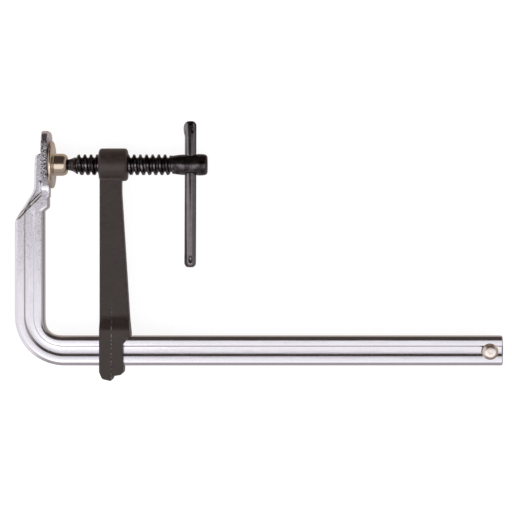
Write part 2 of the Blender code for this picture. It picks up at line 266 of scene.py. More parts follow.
# a value carried smoothly from one range to another
def rangeNode(tree, value, fromLow, fromHigh, toLow=0.0, toHigh=1.0):
    inputs = {"Value": value, "From Min": fromLow, "From Max": fromHigh, "To Min": toLow, "To Max": toHigh}
    return addNode(tree, "ShaderNodeMapRange", inputs, interpolation_type="SMOOTHSTEP").outputs[0]


def mixColour(tree, factor, first, second):
    item = addNode(tree, "ShaderNodeMix", {0: factor}, data_type="RGBA")
    colourInputs = [socket for socket in item.inputs if socket.type == "RGBA"]
    for socket, value in zip(colourInputs, (first, second)):
        if isinstance(value, bpy.types.NodeSocket):
            tree.links.new(value, socket)
        else:
            socket.default_value = (*value, 1)
    return next(socket for socket in item.outputs if socket.type == "RGBA")


def noiseNode(tree, vector, scale, detail=3.0, roughness=0.5, distortion=0.0):
    inputs = {"Vector": vector, "Scale": scale, "Detail": detail, "Roughness": roughness,
              "Distortion": distortion}
    return addNode(tree, "ShaderNodeTexNoise", inputs).outputs["Fac"]


def bumpNode(tree, height, distance, normal=None, strength=1.0):
    inputs = {"Height": height, "Distance": distance, "Strength": strength}
    if normal is not None:
        inputs["Normal"] = normal
    return addNode(tree, "ShaderNodeBump", inputs).outputs["Normal"]


# a material with its shader and object coordinates measured from the clamp's datum
def startMaterial(name):
    material = bpy.data.materials.new(name)
    material.use_nodes = True
    tree = material.node_tree
    shader = tree.nodes["Principled BSDF"]
    place = addNode(tree, "ShaderNodeTexCoord").outputs["Object"]
    fromDatum = addNode(tree, "ShaderNodeVectorMath", {0: place, 1: datum}, operation="SUBTRACT").outputs[0]
    parts = addNode(tree, "ShaderNodeSeparateXYZ", {0: fromDatum})
    return material, tree, shader, fromDatum, parts.outputs


brightSteel = {
    "pitSize": 0.0009,
    "pitDark": (0.12, 0.10, 0.10),
    "pitLight": (0.62, 0.59, 0.61),
    "pitDepth": 5.0,
    "creasePlace": 0.0150,
    # the crease's dark colour is painted shade, laid as two lines along the crease
    "creaseShadeColour": (0.085, 0.070, 0.055),
    "creaseTan": (0.66, 0.58, 0.47),
    "colour": (0.80, 0.785, 0.815),
    "dullColour": (0.56, 0.535, 0.565),
    "roughness": (0.09, 0.20),
    "streakSize": 0.0004,
    "mottleSize": 0.0017,
}


def makeBrightSteel():
    material, tree, shader, place, axes = startMaterial("brightPlatedSteel")
    # distance across the bar, measured round the bend, and length along it
    centre = Vector((rail["bendX"], rail["bendY"], 0))
    inward = addNode(tree, "ShaderNodeVectorMath", {0: centre, 1: place}, operation="SUBTRACT").outputs[0]
    corner = addNode(tree, "ShaderNodeVectorMath", {0: inward, 1: (0, 0, -1)}, operation="MAXIMUM").outputs[0]
    flat = addNode(tree, "ShaderNodeVectorMath", {0: corner, 1: (1, 1, 0)}, operation="MULTIPLY").outputs[0]
    across = addNode(tree, "ShaderNodeVectorMath", {0: flat}, operation="LENGTH").outputs["Value"]
    along = mathNode(tree, "SUBTRACT", axes["X"], axes["Y"])
    slow = mathNode(tree, "MULTIPLY", along, 0.02)
    drawn = addNode(tree, "ShaderNodeCombineXYZ", {0: across, 1: axes["Z"], 2: slow}).outputs[0]
    streak = noiseNode(tree, drawn, 1 / brightSteel["streakSize"], 3.0, 0.6)
    # the leg is duller and more mottled towards the forged jaw
    nearJaw = rangeNode(tree, axes["Y"], -0.105, -0.030)
    forged = rangeNode(tree, axes["Y"], -0.045, -0.028)
    mottle = noiseNode(tree, place, 1 / brightSteel["mottleSize"], 4.0, 0.6, 0.6)
    patches = noiseNode(tree, place, 90.0, 3.0, 0.55)
    spots = rangeNode(tree, mottle, 0.50, 0.68)
    cover = mathNode(tree, "MULTIPLY", spots, rangeNode(tree, nearJaw, 0.0, 1.0, 0.06, 0.75))
    base = mixColour(tree, cover, brightSteel["colour"], brightSteel["dullColour"])
    # the jaw's sheared edges are pitted and darker
    edgeSide = rangeNode(tree, mathNode(tree, "ABSOLUTE", axes["Z"]), 0.0144, 0.0148)
    edgeSide = mathNode(tree, "MULTIPLY", edgeSide, rangeNode(tree, axes["Y"], -0.0102, -0.0092))
    # and along the slanted crease above the bar a dark line of painted shade is laid on either side, with a
    # tan band between them
    slantwise = mathNode(tree, "SUBTRACT", axes["Y"], axes["X"])
    offCrease = mathNode(tree, "ABSOLUTE", mathNode(tree, "ADD", slantwise, brightSteel["creasePlace"]))
    creaseShade = mathNode(tree, "MULTIPLY", rangeNode(tree, offCrease, 0.0004, 0.0010),
                     rangeNode(tree, offCrease, 0.0021, 0.0014))
    beside = mathNode(tree, "MULTIPLY", rangeNode(tree, axes["X"], -0.0045, -0.0060),
                      rangeNode(tree, axes["Y"], -0.0400, -0.0375))
    creaseShade = mathNode(tree, "MULTIPLY", mathNode(tree, "MULTIPLY", creaseShade, beside), 0.85)
    base = mixColour(tree, creaseShade, base, brightSteel["creaseShadeColour"])
    middle = mathNode(tree, "MULTIPLY", rangeNode(tree, offCrease, 0.0008, 0.0003), beside)
    base = mixColour(tree, mathNode(tree, "MULTIPLY", middle, 0.6), base, brightSteel["creaseTan"])
    pits = noiseNode(tree, place, 1 / brightSteel["pitSize"], 2.0, 0.5)
    pitted = mixColour(tree, rangeNode(tree, pits, 0.38, 0.60), brightSteel["pitDark"],
                       brightSteel["pitLight"])
    base = mixColour(tree, edgeSide, base, pitted)
    tree.links.new(base, shader.inputs["Base Color"])
    low, high = brightSteel["roughness"]
    rough = mathNode(tree, "ADD", rangeNode(tree, streak, 0.3, 0.7, low, high),
                     rangeNode(tree, patches, 0.35, 0.7, 0.0, 0.05))
    rough = mathNode(tree, "ADD", rough, rangeNode(tree, nearJaw, 0.0, 1.0, 0.0, 0.08))
    tree.links.new(rough, shader.inputs["Roughness"])
    fine = bumpNode(tree, streak, 0.000004)
    depth = rangeNode(tree, forged, 0.0, 1.0, 0.15, 1.0)
    height = mathNode(tree, "MULTIPLY", mottle, mathNode(tree, "MULTIPLY", depth, nearJaw))
    pitHeight = mathNode(tree, "MULTIPLY", mathNode(tree, "MULTIPLY", pits, edgeSide),
                         brightSteel["pitDepth"])
    height = mathNode(tree, "ADD", height, pitHeight)
    tree.links.new(bumpNode(tree, height, 0.00005, fine), shader.inputs["Normal"])
    shader.inputs["Metallic"].default_value = 1.0
    return material


blackForging = {
    "colour": (0.043, 0.029, 0.024),
    "lightColour": (0.060, 0.043, 0.036),
    # this pale colour serves both the real edge wear and the painted highlight along the parting line
    "wearAndHighlightColour": (0.34, 0.28, 0.26),
    "lipBeside": 0.0003,
}


def makeBlackForging():
    material, tree, shader, place, axes = startMaterial("blackForging")
    scale = noiseNode(tree, place, 260.0, 5.0, 0.6)
    grain = noiseNode(tree, place, 1500.0, 3.0, 0.6)
    broad = noiseNode(tree, place, 45.0, 3.0, 0.5)
    tone = mathNode(tree, "ADD", mathNode(tree, "MULTIPLY", scale, 0.6),
                    mathNode(tree, "MULTIPLY", broad, 0.4))
    base = mixColour(tree, rangeNode(tree, tone, 0.38, 0.66), blackForging["colour"],
                     blackForging["lightColour"])
    # painted highlight: bright dashes are painted here and there along the lip beside the parting line, low
    # on the arm
    lipX = armSeamX - blackForging["lipBeside"]
    offLine = mathNode(tree, "ABSOLUTE", mathNode(tree, "SUBTRACT", axes["X"], lipX))
    line = rangeNode(tree, offLine, 0.00042, 0.00022)
    dashPlace = addNode(tree, "ShaderNodeCombineXYZ", {0: 0.0, 1: axes["Y"], 2: 0.0}).outputs[0]
    dashes = rangeNode(tree, noiseNode(tree, dashPlace, 380.0, 2.0), 0.47, 0.56)
    lower = rangeNode(tree, axes["Y"], -0.090, -0.118)
    seamHighlight = mathNode(tree, "MULTIPLY", mathNode(tree, "MULTIPLY", line, dashes), lower)
    edges = rangeNode(tree, addNode(tree, "ShaderNodeNewGeometry").outputs["Pointiness"], 0.545, 0.60)
    worn = mathNode(tree, "MULTIPLY", edges, rangeNode(tree, scale, 0.45, 0.65, 0.0, 0.25))
    # the painted seam highlight and the real edge wear are laid in one pale colour
    wear = mathNode(tree, "MAXIMUM", mathNode(tree, "MULTIPLY", seamHighlight, 0.80), worn)
    base = mixColour(tree, wear, base, blackForging["wearAndHighlightColour"])
    tree.links.new(base, shader.inputs["Base Color"])
    rough = rangeNode(tree, scale, 0.35, 0.65, 0.36, 0.50)
    tree.links.new(rough, shader.inputs["Roughness"])
    coarse = bumpNode(tree, scale, 0.00012)
    tree.links.new(bumpNode(tree, grain, 0.00003, coarse), shader.inputs["Normal"])
    return material


blackOxide = {
    "colour": (0.045, 0.038, 0.038),
    "lightColour": (0.245, 0.222, 0.227),
    "wearAndHighlightColour": (0.45, 0.42, 0.42),
}


# stretch says which way the fine marks run: along the bar, or round the spindle
def makeBlackOxide(name, stretch, roughness, wearAmount, depth, streaks):
    material, tree, shader, place = startMaterial(name)[:4]
    drawn = addNode(tree, "ShaderNodeVectorMath", {0: place, 1: stretch}, operation="MULTIPLY").outputs[0]
    marks = noiseNode(tree, drawn, 2200.0, 3.0, 0.6)
    cloud = noiseNode(tree, place, 180.0, 4.0, 0.6)
    dark = [depth * level for level in blackOxide["colour"]]
    light = [depth * level for level in blackOxide["lightColour"]]
    tone = mathNode(tree, "ADD", rangeNode(tree, cloud, 0.4, 0.65, 0.0, 1 - streaks),
                    rangeNode(tree, noiseNode(tree, drawn, 420.0, 1.0), 0.44, 0.56, 0.0, streaks))
    base = mixColour(tree, tone, dark, light)
    edges = rangeNode(tree, addNode(tree, "ShaderNodeNewGeometry").outputs["Pointiness"], 0.53, 0.60)
    wear = mathNode(tree, "MULTIPLY", edges, rangeNode(tree, cloud, 0.42, 0.62, 0.0, wearAmount))
    tree.links.new(mixColour(tree, wear, base, blackOxide["wearAndHighlightColour"]), shader.inputs["Base Color"])
    low, high = roughness
    tree.links.new(rangeNode(tree, marks, 0.3, 0.7, low, high), shader.inputs["Roughness"])
    tree.links.new(bumpNode(tree, marks, 0.000006), shader.inputs["Normal"])
    shader.inputs["Metallic"].default_value = 1.0
    return material


yellowZinc = {
    "colour": (0.74, 0.63, 0.49),
    "pinkColour": (0.78, 0.61, 0.52),
    "greenColour": (0.64, 0.60, 0.44),
    "paintedHighlightColour": (0.92, 0.83, 0.79),
}


# radial holds the lathe's axis that the turning marks run round, and pale whitens the middle as a painted
# highlight
def makeYellowZinc(name, radial, pitch, pale):
    material, tree, shader, place, axes = startMaterial(name)
    centred = addNode(tree, "ShaderNodeVectorMath", {0: place, 1: radial["centre"]}, operation="SUBTRACT")
    flat = addNode(tree, "ShaderNodeVectorMath", {0: centred.outputs[0], 1: radial["mask"]},
                   operation="MULTIPLY")
    radius = addNode(tree, "ShaderNodeVectorMath", {0: flat.outputs[0]}, operation="LENGTH").outputs["Value"]
    along = axes[radial["along"]]
    ring = addNode(tree, "ShaderNodeCombineXYZ", {0: radius, 1: along, 2: 0.0}).outputs[0]
    marks = noiseNode(tree, ring, 1 / pitch, 2.0, 0.6)
    cloud = noiseNode(tree, place, 240.0, 3.0, 0.5)
    tint = mixColour(tree, rangeNode(tree, cloud, 0.35, 0.65), yellowZinc["pinkColour"],
                     yellowZinc["greenColour"])
    base = mixColour(tree, 0.45, yellowZinc["colour"], tint)
    # painted highlight: the flat middle is whitened to stand for the light it reflects
    middle = rangeNode(tree, radius, 0.0048, 0.0040, 0.0, pale)
    base = mixColour(tree, middle, base, yellowZinc["paintedHighlightColour"])
    tree.links.new(base, shader.inputs["Base Color"])
    tree.links.new(rangeNode(tree, marks, 0.3, 0.7, 0.13, 0.24), shader.inputs["Roughness"])
    tree.links.new(bumpNode(tree, marks, 0.000006), shader.inputs["Normal"])
    shader.inputs["Metallic"].default_value = 1.0
    return material


def makeSpringWire():
    material, tree, shader, place = startMaterial("springWire")[:4]
    marks = noiseNode(tree, place, 2600.0, 2.0)
    base = mixColour(tree, rangeNode(tree, marks, 0.4, 0.6), (0.42, 0.42, 0.44), (0.56, 0.56, 0.58))
    tree.links.new(base, shader.inputs["Base Color"])
    tree.links.new(rangeNode(tree, marks, 0.3, 0.7, 0.22, 0.34), shader.inputs["Roughness"])
    shader.inputs["Metallic"].default_value = 1.0
    return material


# the rail: a rolled, grooved bar bent to an L, forged at the top into the fixed jaw
rail = {
    "width": 0.0210,
    "thickness": 0.0105,
    "edgeRadius": 0.0035,
    "bendInner": 0.0140,
    "crowding": 0.0015,
    "crowdingReach": 0.012,
    "bendSteps": 48,
    "grooveHalf": 0.0038,
    "grooveFloor": 0.0025,
    "grooveDepth": 0.00095,
    "grooveRise": 0.00010,
    "endRounding": 0.0011,
}
rail["inner"] = railLow.x + rail["width"]
rail["top"] = railLow.y + rail["width"]
rail["bendX"] = rail["inner"] + rail["bendInner"]
rail["bendY"] = rail["top"] + rail["bendInner"]


def railSection():
    half = rail["width"] / 2
    face = rail["thickness"] / 2
    radius = rail["edgeRadius"]
    floor = face - rail["grooveDepth"]
    quarter = []
    for step in range(5):
        share = step / 4
        quarter.append((rail["grooveFloor"] * share, floor + rail["grooveRise"] * share ** 2))
    foot = floor + rail["grooveRise"]
    wall = rail["grooveHalf"] - rail["grooveFloor"]
    for share in (0.12, 0.25, 0.4, 0.55, 0.7, 0.83, 0.93, 1.0):
        climb = share ** 2 * (3 - 2 * share)
        quarter.append((rail["grooveFloor"] + wall * share, foot + (face - foot) * climb))
    for step in range(13):
        angle = math.radians(90 * (1 - step / 12))
        quarter.append((half - radius + radius * math.cos(angle), face - radius + radius * math.sin(angle)))
    below = [(across, -height) for across, height in reversed(quarter)]
    right = quarter + below
    left = [(-across, height) for across, height in reversed(right[1:-1])]
    return right + left


def makeRailBar(upTo):
    middle = (rail["top"] + railLow.y) / 2
    points = [Vector((railHigh.x, middle + across, height)) for across, height in railSection()]
    piece = drawLine("rail_forged", points, closed=True)
    bpy.ops.mesh.extrude_region_move(TRANSFORM_OT_translate={"value": (rail["bendX"] - railHigh.x, 0, 0)})
    centre = (rail["bendX"], rail["bendY"], 0)
    bpy.ops.mesh.spin(steps=rail["bendSteps"], angle=math.pi / 2, center=centre, axis=(0, 0, 1))
    bpy.ops.mesh.extrude_region_move(TRANSFORM_OT_translate={"value": (0, upTo - rail["bendY"], 0)})
    tidyMesh()
    # bending crowds the metal into the inside corner
    corner = Vector(centre)
    for vertex in piece.data.vertices:
        offset = vertex.co - corner
        if offset.x < 0 and offset.y < 0:
            reach = math.hypot(offset.x, offset.y)
            turned = 2 * offset.x * offset.y / reach ** 2
            share = max(1 - (reach - rail["bendInner"]) / rail["crowdingReach"], 0)
            grown = rail["crowding"] * turned ** 2 * share
            vertex.co.x += offset.x / reach * grown
            vertex.co.y += offset.y / reach * grown
    # the sawn end is rounded over
    pick(piece, "EDGE", lambda middle, edge: all(abs(v.co.x - railHigh.x) < 1e-6 for v in edge.verts))
    bpy.ops.mesh.bevel(offset=rail["endRounding"], segments=4, profile=0.5)
    bpy.ops.object.mode_set(mode="OBJECT")
    return piece


jaw = {
    "grain": 0.00036,
    "passes": 7,
    "plateThickness": 0.0049,
    "topRadius": 0.0092,
    "topDrop": 0.0006,
    "sideFoot": -0.0096,
    "creaseLow": -0.0409,
    "creaseHigh": -0.0188,
    "creaseBehind": 0.0022,
    "chamferRun": 0.62,
    "chamferRise": 0.78,
    "stubFoot": -0.0500,
    "stubLength": 0.040,
    "webThickness": 0.0074,
    "webRounding": 0.0022,
    "blockThickness": 0.0104,
    "blockRounding": 0.0018,
    "plateRounding": 0.0009,
    "blendTop": -0.0420,
    "blendLength": 0.0050,
    "joint": 0.0008,
    "toothPitch": 0.00175,
    "toothRows": 15,
    "toothColumns": 15,
    "toothTop": 0.0174,
    "toothSide": 0.00115,
    "toothLength": 0.040,
}


def flatPoints(points, height=0.0):
    return [Vector((x, y, height)) for x, y in points]


# the bar's own section, cut off on the slant and chamfered down to the web behind the jaw
def makeJawStub():
    middle = (rail["inner"] + railLow.x) / 2
    points = [Vector((middle + across, jaw["stubFoot"], height)) for across, height in railSection()]
    stub = drawLine("jawStub", points, closed=True)
    bpy.ops.mesh.extrude_region_move(TRANSFORM_OT_translate={"value": (0, jaw["stubLength"], 0)})
    tidyMesh()
    crease = Vector((railLow.x, jaw["creaseLow"], 0))
    slant = Vector((-1, 1, 0)).normalized()
    lift = Vector((0, 0, rail["thickness"] / 2))
    rise = Vector((0, 0, jaw["chamferRise"]))
    planes = [(crease + lift, slant * jaw["chamferRun"] + rise),
              (crease - lift, slant * jaw["chamferRun"] - rise),
              (crease + slant * jaw["creaseBehind"], slant),
              (crease + Vector((0, 0.0006, 0)), Vector((-0.838, 0.546, 0)))]
    for place, normal in planes:
        activate(stub)
        bpy.ops.object.mode_set(mode="EDIT")
        bpy.ops.mesh.select_all(action="SELECT")
        bpy.ops.mesh.bisect(plane_co=place, plane_no=normal, use_fill=True, clear_outer=True,
                            threshold=0.000001)
        tidyMesh()
    return stub


def makeJawWeb():
    outline = roundedCorners([
        (-0.0234, -0.0500, 0), (-0.0240, -0.0385, 0.0030),
        (-0.0112, -0.0180, 0.0110), (-0.0105, 0.0072, 0.0032),
        (-0.0030, 0.0080, 0), (-0.0030, -0.0250, 0), (-0.0070, -0.0500, 0),
    ])
    web = pulledOutline("jawWeb", flatPoints(outline), Vector((0, 0, jaw["webThickness"])))
    rim = jaw["webThickness"] / 2 - 0.0001
    pick(web, "EDGE", lambda middle, edge: abs(middle.z) > rim and middle.x < -0.0085 and middle.y > -0.046)
    bpy.ops.mesh.bevel(offset=jaw["webRounding"], segments=5, profile=0.5)
    bpy.ops.object.mode_set(mode="OBJECT")
    return web


def makeJawBlock():
    outline = roundedCorners([
        (-0.0066, -0.0120, 0), (-0.0004, -0.0120, 0), (-0.0004, -0.0300, 0.0022),
        (-0.0044, -0.0330, 0.0010), (-0.0120, -0.0330, 0), (-0.0120, -0.0272, 0), (-0.0066, -0.0218, 0),
    ])
    block = pulledOutline("jawBlock", flatPoints(outline), Vector((0, 0, jaw["blockThickness"])))
    rim = jaw["blockThickness"] / 2 - 0.0001
    pick(block, "EDGE", lambda middle, edge: abs(middle.z) > rim and middle.x > -0.0055)
    bpy.ops.mesh.bevel(offset=jaw["blockRounding"], segments=4, profile=0.5)
    bpy.ops.object.mode_set(mode="OBJECT")
    return block


# seen along the rail: round at the top, drawn in below by hollow shoulders
def makeJawPlate():
    half = [
        (0.0050, -0.0225, 0), (0.0052, jaw["sideFoot"], railHigh.z - 0.0054),
        (railHigh.z, jaw["sideFoot"], 0), (railHigh.z, railHigh.y - jaw["topDrop"], jaw["topRadius"]),
    ]
    other = [(-x, y, radius) for x, y, radius in reversed(half)]
    points = [Vector((-jaw["plateThickness"] / 2, y, z)) for z, y in roundedCorners(half + other, 12)]
    plate = pulledOutline("jawPlate", points, Vector((jaw["plateThickness"], 0, 0)))
    pick(plate, "EDGE", lambda middle, edge: middle.y > 0.012 and abs(middle.x + 0.00245) > 0.002)
    bpy.ops.mesh.bevel(offset=jaw["plateRounding"], segments=4, profile=0.5)
    bpy.ops.object.mode_set(mode="OBJECT")
    return plate


# square rods laid corner down across the pressure face
def makeTeeth(name, count, length, spread):
    rod = jaw["toothSide"]
    deselectAll()
    bpy.ops.mesh.primitive_cube_add(size=1)
    teeth = bpy.context.object
    teeth.name = name
    teeth.scale = (rod, rod, length)
    bpy.ops.object.transform_apply(location=False, rotation=False, scale=True)
    turnPiece(teeth, math.pi / 4, "Z")
    applyModifier(teeth, "ARRAY", count=count, use_relative_offset=False, use_constant_offset=True,
                  constant_offset_displace=(0, -spread, 0))
    return teeth


def makeRail():
    bar = makeRailBar(jaw["stubFoot"])
    head = makeJawStub()
    gather(head, [makeJawWeb(), makeJawBlock(), makeJawPlate()])
    forgeSkin(head, jaw["grain"], jaw["passes"])
    # below the crease the skin is drawn back on to the bar's own section
    guide = makeRailBar(jaw["creaseHigh"])
    near = head.vertex_groups.new(name="ontoBar")
    for vertex in head.data.vertices:
        weight = min(max((jaw["blendTop"] - vertex.co.y) / jaw["blendLength"], 0.0), 1.0)
        if weight > 0:
            near.add([vertex.index], weight, "REPLACE")
    applyModifier(head, "SHRINKWRAP", target=guide, wrap_method="NEAREST_SURFACEPOINT",
                  vertex_group="ontoBar")
    bpy.data.objects.remove(guide, do_unlink=True)
    activate(head)
    bpy.ops.object.mode_set(mode="EDIT")
    bpy.ops.mesh.select_all(action="SELECT")
    bpy.ops.mesh.bisect(plane_co=(0, jaw["stubFoot"] + jaw["joint"], 0), plane_no=(0, -1, 0), use_fill=True,
                        clear_outer=True, threshold=0.000001)
    tidyMesh()
    # milled teeth, across and then up the pressure face
    rows = makeTeeth("toothRows", jaw["toothRows"], jaw["toothLength"], jaw["toothPitch"])
    movePiece(rows, (0, jaw["toothTop"], 0))
    cut(head, rows)
    height = (jaw["toothRows"] - 1) * jaw["toothPitch"]
    columns = makeTeeth("toothColumns", jaw["toothColumns"], height, jaw["toothPitch"])
    movePiece(columns, (0, (jaw["toothColumns"] - 1) * jaw["toothPitch"] / 2, 0))
    turnPiece(columns, math.pi / 2, "X")
    movePiece(columns, (0, jaw["toothTop"] - height / 2, 0))
    cut(head, columns)
    # the two open ends are bridged to one skin
    for part, height in ((bar, jaw["stubFoot"]), (head, jaw["stubFoot"] + jaw["joint"])):
        pick(part, "FACE", lambda middle, face: all(abs(v.co.y - height) < 1e-5 for v in face.verts))
        bpy.ops.mesh.delete(type="ONLY_FACE")
    gather(bar, [head])
    bpy.ops.object.mode_set(mode="EDIT")
    bpy.ops.mesh.select_mode(type="EDGE")
    bpy.ops.mesh.select_all(action="DESELECT")
    bpy.ops.mesh.select_non_manifold()
    bpy.ops.mesh.bridge_edge_loops()
    tidyMesh()
    return bar


# the pin through the rail's free end
def makeStopPin():
    seat = rail["thickness"] / 2 + 0.0001
    radius = (pinHigh.x - pinLow.x) / 2
    tall = pinHigh.z
    half = [
        (tall - 0.0002, 0), (tall - 0.0002, 0.0011), (tall, 0.0013), (tall, 0.0035),
        (tall - 0.0001, 0.0039), (tall - 0.0005, 0.0043), (tall - 0.0011, 0.0046), (tall - 0.0015, 0.0049),
        (tall - 0.0016, 0.0051), (tall - 0.0015, 0.0053), (tall - 0.0016, radius - 0.0003),
        (tall - 0.0020, radius), (seat, radius), (seat, 0.0026),
    ]
    other = [(-height, across) for height, across in reversed(half)]
    pin = spunProfile("stop_pin_turned", half + other, 96)
    turnPiece(pin, -math.pi / 2, "Y")
    movePiece(pin, ((pinLow.x + pinHigh.x) / 2, (pinLow.y + pinHigh.y) / 2, 0))
    return pin


arm = {
    "grain": 0.00045,
    "passes": 7,
    "web": 0.0060,
    "sleeve": 0.0100,
    "seamWidth": 0.0005,
    "seamLength": 0.0200,
    "seamLift": 0.0001,
    "play": 0.00035,
    "bossBack": 0.0547,
    "bossFront": 0.0345,
    "bossRadius": 0.0115,
    "bossRounding": 0.0022,
    "windowRounding": 0.0010,
}
armSeamX = 0.0442


def makeArmPlan():
    outline = roundedCorners([
        (armLow.x + 0.0007, 0.0040, 0), (0.0506, 0.0040, 0), (0.0504, -0.0190, 0.0300),
        (0.0568, -0.1202, 0.0006), (0.0519, -0.1256, 0.0006),
        (0.0521, -0.1470, 0.0030), (0.0450, -0.1480, 0.0010),
        (0.0438, armLow.y, 0.0010), (0.0372, -0.1500, 0.0026), (armLow.x + 0.0007, -0.1450, 0.0020),
    ], 6)
    return pulledOutline("sliding_arm_forged", flatPoints(outline), Vector((0, 0, 0.030)))


def makeArmProfile():
    half = [
        (arm["web"], 0.0080, 0), (arm["web"], -0.1085, 0.0120),
        (arm["sleeve"], -0.1150, 0.0040), (arm["sleeve"], -0.1600, 0),
    ]
    other = [(-x, y, radius) for x, y, radius in reversed(half)]
    points = [Vector((0.045, y, z)) for z, y in roundedCorners(half + other, 8)]
    return pulledOutline("armProfile", points, Vector((0.060, 0, 0)))


def makeArmBoss():
    edge = arm["bossRounding"]
    back = arm["bossBack"]
    front = arm["bossFront"]
    radius = arm["bossRadius"]
    profile = [(front, 0)]
    for step in range(7):
        angle = math.radians(90 * step / 6)
        profile.append((front + edge - edge * math.cos(angle), radius - edge + edge * math.sin(angle)))
    profile += [(front + back - along, across) for along, across in reversed(profile)]
    return spunProfile("armBoss", profile, 96)


def makeThreadTool(name, outline, closed, start, turns, steps):
    points = [Vector((start + along, 0, -radius)) for radius, along in outline]
    tool = drawLine(name, points)
    if closed:
        bpy.ops.mesh.select_all(action="SELECT")
        bpy.ops.mesh.edge_face_add()
        bpy.ops.mesh.delete(type="ONLY_FACE")
    bpy.ops.object.mode_set(mode="OBJECT")
    applyModifier(tool, "SCREW", axis="X", screw_offset=thread["pitch"], iterations=turns, steps=steps,
                  render_steps=steps)
    activate(tool)
    bpy.ops.object.mode_set(mode="EDIT")
    bpy.ops.mesh.select_all(action="SELECT")
    bpy.ops.mesh.remove_doubles(threshold=0.000002)
    bpy.ops.mesh.select_all(action="DESELECT")
    bpy.ops.mesh.select_non_manifold()
    bpy.ops.mesh.fill_holes(sides=0)
    tidyMesh()
    faceOutwards(tool)
    return tool


thread = {
    "pitch": record["behaviour"]["couplings"][0]["ratio"] * math.tau,
    "crest": 0.0073,
    "root": 0.0051,
    "start": 0.01905,
    "steps": 48,
    "turns": 17,
    "end": 0.0830,
    "crestShare": 0.19,
    "rootShare": 0.35,
    "tapPlay": 0.0002,
    "tapCrestShare": 0.20,
    "tapRootShare": 0.36,
    "holeRadius": 0.0045,
}


# the thread in the boss is the spindle's own, a little larger
def makeTap():
    pitch = thread["pitch"]
    root = thread["root"] + thread["tapPlay"]
    crest = thread["crest"] + thread["tapPlay"]
    foot = thread["tapRootShare"] * pitch
    top = thread["tapCrestShare"] * pitch
    outline = [(root, pitch / 2), (root, foot), (crest, top),
               (crest, -top), (root, -foot), (root, -pitch / 2)]
    return makeThreadTool("tap", outline, False, thread["start"] + 2 * pitch, 8, 24)


# the parting line left by the dies, cut along both sides of the sleeve
def makeSeam(side):
    deselectAll()
    bpy.ops.mesh.primitive_cube_add(size=1)
    seam = bpy.context.object
    seam.scale = (arm["seamWidth"], arm["seamLength"], arm["seamWidth"])
    bpy.ops.object.transform_apply(location=False, rotation=False, scale=True)
    turnPiece(seam, math.pi / 4, "Y")
    movePiece(seam, (armSeamX, armLow.y + arm["seamLength"] / 2, side * (arm["sleeve"] + arm["seamLift"])))
    return seam


def makeArm():
    piece = makeArmPlan()
    join(piece, makeArmProfile(), "INTERSECT")
    gather(piece, [makeArmBoss()])
    forgeSkin(piece, arm["grain"], arm["passes"])
    wide = rail["thickness"] / 2 + arm["play"]
    low = railLow.y - arm["play"]
    high = rail["top"] + arm["play"]
    corners = [(z, y, arm["windowRounding"])
               for z, y in ((-wide, low), (wide, low), (wide, high), (-wide, high))]
    window = pulledOutline("railWindow", [
        Vector((0.045, y, z)) for z, y in roundedCorners(corners, 4)], Vector((0.060, 0, 0)))
    cut(piece, window)
    cut(piece, makeTap())
    for side in (-1, 1):
        cut(piece, makeSeam(side))
    return piece


# the spindle: ball nose, waisted neck, rounded trapezoidal thread, cross-drilled head
def makeSpindle():
    end = spindleHigh.x
    crest = thread["crest"]
    head = [
        (end, 0), (end, 0.0052), (end - 0.0002, 0.0060), (end - 0.0007, 0.0067), (end - 0.0015, 0.0072),
        (end - 0.0030, 0.0075), (end - 0.0060, 0.0076), (end - 0.0140, 0.0074), (0.0930, 0.0072),
        (0.0900, 0.0069), (0.0872, 0.0065), (0.0855, 0.0064), (0.0843, 0.0066),
        (thread["end"] + 0.0004, 0.0071),
    ]
    neck = [
        (0.0196, 0.0070), (0.0190, 0.0067), (0.0183, 0.0062), (0.0176, 0.0056), (0.0168, 0.00502),
        (0.0160, 0.0047), (0.0150, 0.0043), (0.0138, 0.0040), (0.0125, 0.0038), (0.0118, 0.0036),
    ]
    profile = head + [(thread["end"], crest), (0.0206, crest)] + neck
    profile += arcProfile(0.0073, 0.0052, 44, 180, 16)
    piece = spunProfile("spindle_threaded", profile, 96)
    pitch = thread["pitch"]
    crestHalf = thread["crestShare"] * pitch
    rootHalf = thread["rootShare"] * pitch
    root = thread["root"]
    mouth = pitch / 2 - crestHalf
    foot = pitch / 2 - rootHalf
    side = [
        (root, foot * 0.55), (root + 0.00012, foot), (crest - 0.0004, mouth - 0.00008),
        (crest - 0.00015, mouth + 0.00005), (crest, mouth + 0.00022), (0.0080, mouth + 0.0004),
    ]
    outline = side + [(radius, -along) for radius, along in reversed(side)]
    groove = makeThreadTool("threadGroove", outline, True, thread["start"] - 1.5 * pitch, thread["turns"],
                            thread["steps"])
    cut(piece, groove)
    radius = thread["holeRadius"]
    hole = spunProfile("crossHole", [
        (-0.012, 0), (-0.012, radius + 0.0050), (-0.0072, radius + 0.0004), (-0.0066, radius),
        (0.0066, radius), (0.0072, radius + 0.0004), (0.012, radius + 0.0050), (0.012, 0)], 64)
    turnPiece(hole, math.pi / 2, "Z")
    movePiece(hole, ((barLow.x + barHigh.x) / 2, 0, 0))
    cut(piece, hole)
    return piece


bar = {
    "radius": 0.0041,
    "swell": 0.0009,
    "swellPlace": 0.0055,
    "swellReach": 0.0062,
    "lean": math.radians(0.20),
    "lowSwellShare": 0.12,
    "punchRadius": 0.0022,
    "punchLift": 0.0007,
}


